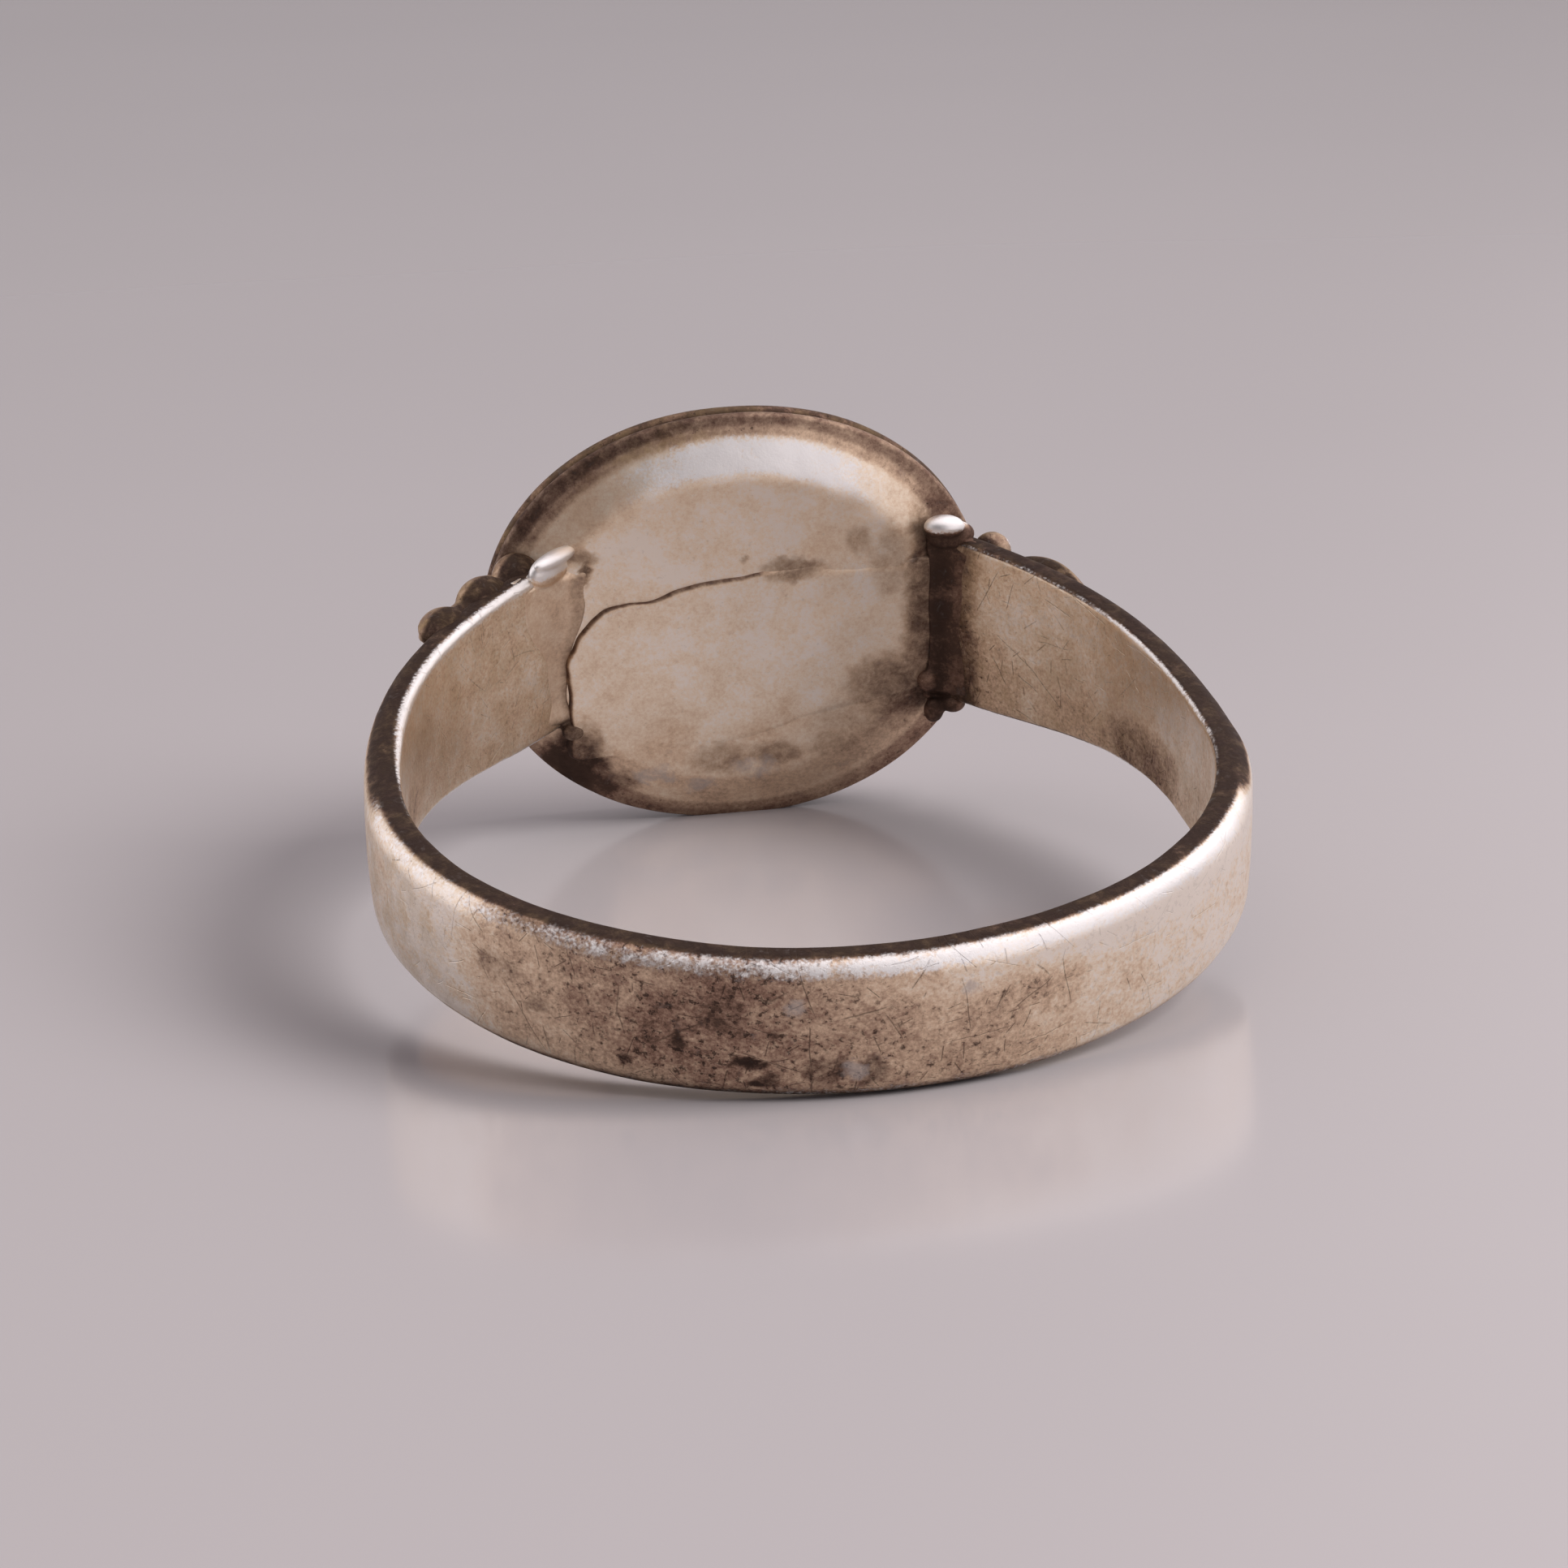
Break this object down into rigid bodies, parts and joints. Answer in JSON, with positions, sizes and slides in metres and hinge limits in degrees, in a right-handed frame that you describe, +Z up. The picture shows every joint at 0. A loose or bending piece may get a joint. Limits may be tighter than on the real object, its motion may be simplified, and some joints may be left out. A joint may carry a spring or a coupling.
{
  "type": "signet ring",
  "caption": "Finger ring in aged silver with an oval signet head, a plain wire border, leaf and grain shoulders, and a plain flat band.",
  "frame": {"origin": "centre of the bounding box on the plane that the ring rests on", "axes": "+Z up from the table, +Y towards the signet head, +X across the finger hole. The ring leans, so the finger hole's axis is 10.9 degrees off +Z"},
  "size_m": [0.02, 0.0228, 0.011],
  "materials": {
    "aged_silver": "aged silver, brown tarnish in patches, worn bright on the edges",
    "plate_silver": "soft satin aged silver with grey and brown blotches",
    "dark_silver": "blackened silver with a golden cast, bright on the high spots",
    "silver_solder": "lumpy hand-flowed silver solder, bright on top and dark at the toe"
  },
  "bodies": {
    "root": {"shank": "aged_silver", "back_plate": "plate_silver", "back_strap": "plate_silver", "bezel_wall": "dark_silver", "signet_face": "plate_silver", "border_wire": "dark_silver", "left_solder_fillet": "silver_solder", "right_solder_fillet": "silver_solder", "left_leaf": "dark_silver", "right_leaf": "dark_silver", "left_granule_1": "dark_silver", "left_granule_2": "dark_silver", "left_granule_3": "dark_silver", "right_granule_1": "dark_silver", "right_granule_2": "dark_silver", "right_granule_3": "dark_silver"}
  },
  "joints": []
}
